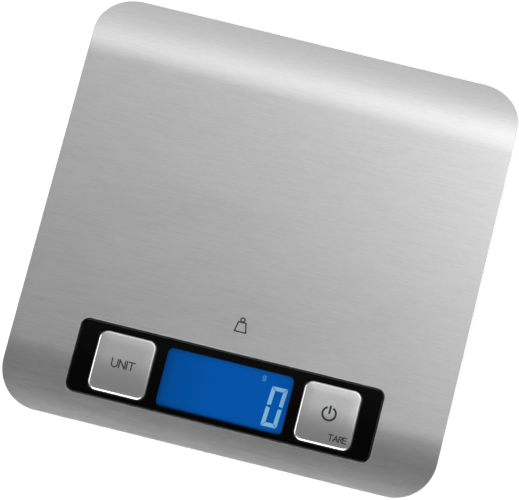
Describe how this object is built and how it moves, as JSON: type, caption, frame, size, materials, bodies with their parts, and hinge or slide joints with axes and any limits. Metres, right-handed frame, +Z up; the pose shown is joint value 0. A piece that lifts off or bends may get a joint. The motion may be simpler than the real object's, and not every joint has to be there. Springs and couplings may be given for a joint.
{
  "type": "digital kitchen scale",
  "caption": "Flat square digital kitchen scale with a brushed steel weighing plate rolled down front and back, two metal touch keys and a blue backlit display.",
  "frame": {"origin": "on the table under the middle of the weighing plate, at the height of the undersides of the feet", "axes": "+Z up out of the weighing plate, -Y to the front where the display is, +X to the right as the display is read"},
  "size_m": [0.22, 0.22, 0.022],
  "materials": {
    "steel_plate": "brushed from side to side, satin",
    "key_metal": "brushed, bevelled edges",
    "gloss_black": "polished black",
    "black_abs": "fine moulded texture",
    "clear_lens": "clear acrylic",
    "lcd_blue": "blue backlit display",
    "light_guide": "opal",
    "foot_rubber": "matt",
    "circuit_board": "solder mask",
    "black_epoxy": "cast",
    "cell_aluminium": "milled",
    "white_silicone": "soft",
    "zinc_steel": "bright zinc plate",
    "nickel_contact": "nickel plate",
    "cell_wrap": "plain wrap",
    "adhesive_foam": "foam tape",
    "red_insulation": "flexible",
    "black_insulation": "flexible",
    "grey_insulation": "flexible"
  },
  "bodies": {
    "base": {"base_tray": "black_abs", "load_cell": "cell_aluminium", "upper_gauge_coating": "white_silicone", "lower_gauge_coating": "white_silicone", "base_bracket": "zinc_steel", "base_bolt_1": "zinc_steel", "base_bolt_2": "zinc_steel", "battery_1": "cell_wrap", "battery_2": "cell_wrap", "contact_link": "nickel_contact", "contact_positive": "nickel_contact", "contact_negative": "nickel_contact", "contact_spring_left": "nickel_contact", "contact_spring_right": "nickel_contact", "foot_1": "foot_rubber", "foot_2": "foot_rubber", "foot_3": "foot_rubber", "foot_4": "foot_rubber"},
    "platform": {"platform_plate": "steel_plate", "adhesive_sheet": "adhesive_foam", "upper_housing": "black_abs", "control_fascia": "gloss_black", "display_window": "clear_lens", "lcd_glass": "lcd_blue", "lcd_holder": "black_abs", "backlight_panel": "light_guide", "lcd_contact_strip": "white_silicone", "main_board": "circuit_board", "controller_chip": "black_epoxy", "board_screw_1": "zinc_steel", "board_screw_2": "zinc_steel", "board_screw_3": "zinc_steel", "board_screw_4": "zinc_steel", "unit_switch": "black_epoxy", "tare_switch": "black_epoxy", "platform_bracket": "zinc_steel", "platform_bolt_1": "zinc_steel", "platform_bolt_2": "zinc_steel", "load_cell_lead": "grey_insulation", "battery_lead_red": "red_insulation", "battery_lead_black": "black_insulation"},
    "unit_key": {"unit_key_cap": "key_metal", "unit_key_carrier": "black_abs", "unit_switch_plunger": "white_silicone"},
    "tare_key": {"tare_key_cap": "key_metal", "tare_key_carrier": "black_abs", "tare_switch_plunger": "white_silicone"},
    "door": {"battery_door": "black_abs", "battery_door_latch": "black_abs"}
  },
  "joints": [
    {"name": "platform_travel", "type": "slide", "parent": "base", "child": "platform", "axis": [0, 0, -1], "range_m": [0, 0.0005], "stiffness_N_per_m": 98000, "deforming": ["load_cell", "load_cell_lead", "battery_lead_red", "battery_lead_black"]},
    {"name": "unit_key_press", "type": "slide", "parent": "platform", "child": "unit_key", "axis": [0, 0, -1], "range_m": [0, 0.0005], "stiffness_N_per_m": 3000},
    {"name": "tare_key_press", "type": "slide", "parent": "platform", "child": "tare_key", "axis": [0, 0, -1], "range_m": [0, 0.0005], "stiffness_N_per_m": 3000},
    {"name": "battery_door_swing", "type": "hinge", "parent": "base", "child": "door", "pos_m": [0, 0.0573, 0.003], "axis": [1, 0, 0], "range_deg": [0, 40], "deforming": ["battery_door_latch"]}
  ]
}
